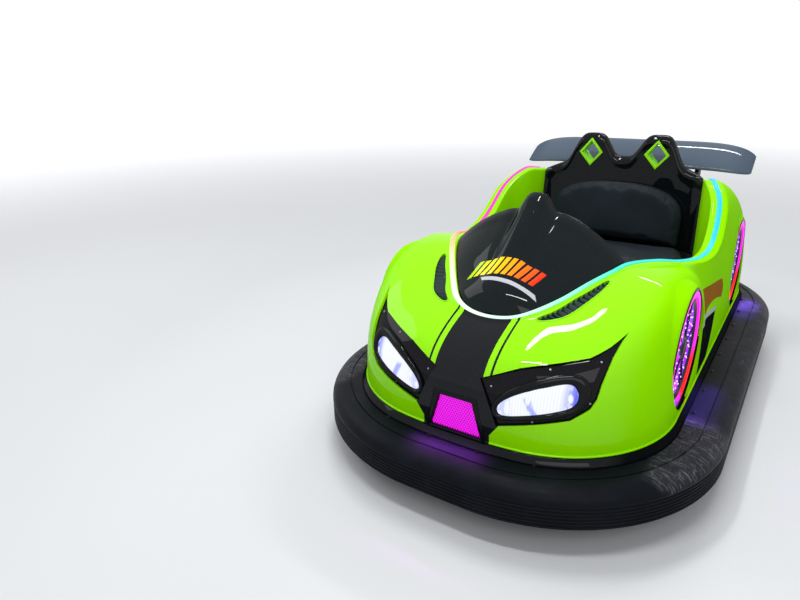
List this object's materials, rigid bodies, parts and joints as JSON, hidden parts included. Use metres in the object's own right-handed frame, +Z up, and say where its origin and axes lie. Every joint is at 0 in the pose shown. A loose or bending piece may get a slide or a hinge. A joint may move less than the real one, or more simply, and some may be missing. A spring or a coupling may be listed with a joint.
{
  "type": "fairground bumper car",
  "caption": "Two-seat battery bumper car with sports-car body, rubber ring bumper, rear wing, steered drive wheel and two rear wheels.",
  "frame": {"origin": "on the floor under the middle of the bumper's outline", "axes": "+Z up, -Y forward, +X to the driver's left"},
  "size_m": [1.16, 2, 0.817],
  "materials": {
    "body_green": "high gloss lime green gelcoat",
    "gloss_black": "polished black gelcoat",
    "satin_black": "satin black moulding",
    "black_vinyl": "matt grained vinyl",
    "bumper_rubber": "satin, scuffed at the front corners",
    "tyre_rubber": "matt",
    "slate_grey": "gloss slate grey",
    "frame_steel": "black painted steel",
    "fork_steel": "grey painted steel",
    "motor_case": "satin dark grey",
    "hub_metal": "turned",
    "battery_case": "matt dark grey",
    "lamp_dish": "gloss black",
    "lamp_white": "lit white lens",
    "magenta_light": "lit magenta",
    "strip_light": "lit, turning from magenta to white and aqua along its length",
    "tail_red": "red lens"
  },
  "bodies": {
    "car": {"floor_plate": "frame_steel", "bumper_ring": "bumper_rubber", "base_skirt": "gloss_black", "body_shell": "body_green", "cockpit_tub": "satin_black", "dash_panel": "satin_black", "cowl": "gloss_black", "rim_light": "strip_light", "seat_board": "satin_black", "seat_cushion": "black_vinyl", "back_cushion": "black_vinyl", "seat_shell": "gloss_black", "headrest_linings": "body_green", "rear_wing": "slate_grey", "wing_struts": "gloss_black", "batteries": "battery_case", "headlight_left": "gloss_black", "headlight_right": "gloss_black", "lens_left": "lamp_white", "lens_right": "lamp_white", "grille_frame": "gloss_black", "grille_screen": "magenta_light", "side_lamp_front_left": "lamp_dish", "side_lamp_front_right": "lamp_dish", "side_lamp_rear_left": "lamp_dish", "side_lamp_rear_right": "lamp_dish", "ring_front_left": "magenta_light", "ring_front_right": "magenta_light", "ring_rear_left": "magenta_light", "ring_rear_right": "magenta_light", "tail_lamps": "tail_red", "swivel_bridge": "frame_steel", "steering_column": "frame_steel", "pedals": "frame_steel", "rear_brackets": "frame_steel"},
    "steering": {"steering_wheel": "satin_black"},
    "fork": {"drive_fork": "fork_steel", "drive_motor": "motor_case"},
    "drive_wheel": {"drive_hub": "hub_metal", "drive_tyre": "tyre_rubber"},
    "rear_wheel_left": {"rear_hub_left": "hub_metal", "rear_tyre_left": "tyre_rubber"},
    "rear_wheel_right": {"rear_hub_right": "hub_metal", "rear_tyre_right": "tyre_rubber"}
  },
  "joints": [
    {"name": "steer", "type": "hinge", "parent": "car", "child": "steering", "pos_m": [0, -0.25, 0.545], "axis": [0, 0.829, 0.5592], "range_deg": [-120, 120]},
    {"name": "fork_swivel", "type": "hinge", "parent": "car", "child": "fork", "pos_m": [0, -0.6, 0.1], "axis": [0, 0, 1], "range_deg": [-60, 60]},
    {"name": "drive_spin", "type": "hinge", "parent": "fork", "child": "drive_wheel", "pos_m": [0, -0.6, 0.1], "axis": [1, 0, 0], "continuous": true},
    {"name": "rear_spin_left", "type": "hinge", "parent": "car", "child": "rear_wheel_left", "pos_m": [0.32, 0.54, 0.09], "axis": [1, 0, 0], "continuous": true},
    {"name": "rear_spin_right", "type": "hinge", "parent": "car", "child": "rear_wheel_right", "pos_m": [-0.32, 0.54, 0.09], "axis": [1, 0, 0], "continuous": true}
  ],
  "couplings": [
    {"joint": "fork_swivel", "follows": "steer", "ratio": 0.5}
  ]
}
